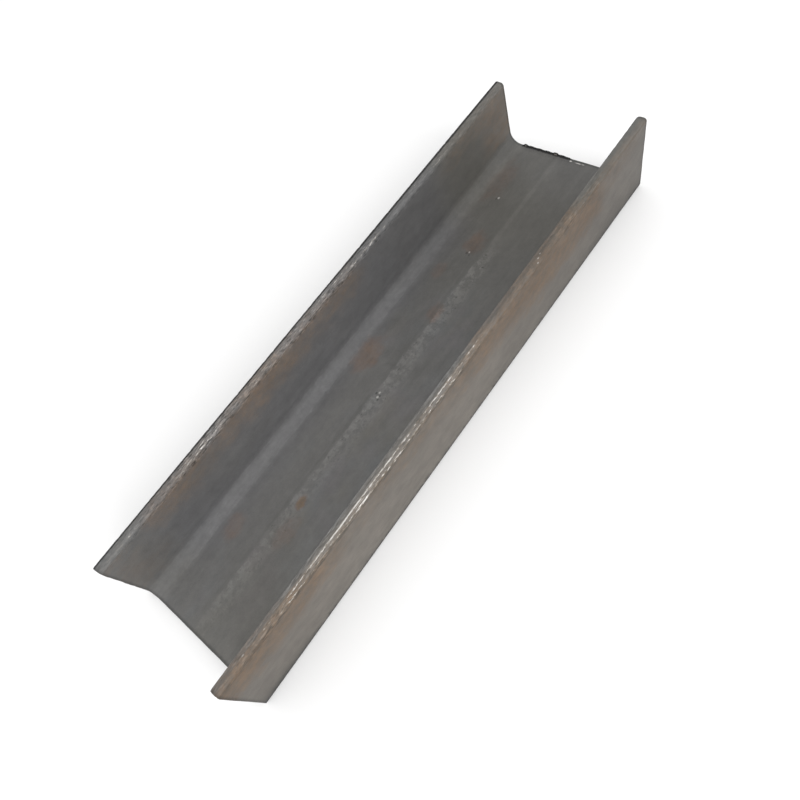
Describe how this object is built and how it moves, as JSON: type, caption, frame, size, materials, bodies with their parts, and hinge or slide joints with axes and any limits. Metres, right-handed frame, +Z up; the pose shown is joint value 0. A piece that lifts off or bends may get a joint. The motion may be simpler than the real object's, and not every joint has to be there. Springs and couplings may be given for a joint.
{
  "type": "steel channel",
  "caption": "Short length of hot-rolled steel channel: a flat web between two upright flanges, rounded toes, filleted roots, square-cut ends and a dark mill-scale skin with light rust.",
  "frame": {"origin": "middle of the web's back, on the floor that the channel lies on", "axes": "+X across the web towards the right flange, +Y along the length towards the cut end with the burr, +Z up from the web's back to the toes"},
  "size_m": [0.1, 0.366, 0.05],
  "materials": {
    "mill_scale_steel": "unpainted hot-rolled steel, dull blue-grey mill scale with rubbed lighter bands along the fillets and the toes, and orange-brown rust near the edges"
  },
  "bodies": {
    "root": {"channel": "mill_scale_steel"}
  },
  "joints": []
}
